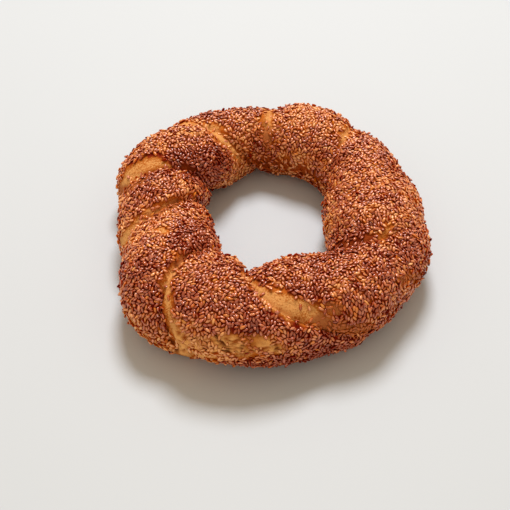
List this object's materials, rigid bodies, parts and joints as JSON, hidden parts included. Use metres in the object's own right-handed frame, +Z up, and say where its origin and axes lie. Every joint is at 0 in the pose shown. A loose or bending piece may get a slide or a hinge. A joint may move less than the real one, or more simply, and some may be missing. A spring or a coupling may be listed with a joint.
{
  "type": "simit",
  "caption": "Ring of bread twisted from two strands of dough, crusted all over with toasted sesame, flat underneath so that it rests on a plate.",
  "frame": {"origin": "under the middle of the ring's box, on the surface that it rests on", "axes": "+Z up through the hole, crown up; -Y towards the front, where the rope of dough is widest; +X to the right"},
  "size_m": [0.1718, 0.1922, 0.0459],
  "materials": {
    "crust": "baked dough crust, amber brown, paler where the strands have pulled apart",
    "sesame": "toasted sesame seeds, reddish brown with a soft sheen"
  },
  "bodies": {
    "root": {"simit": "crust"}
  },
  "joints": []
}
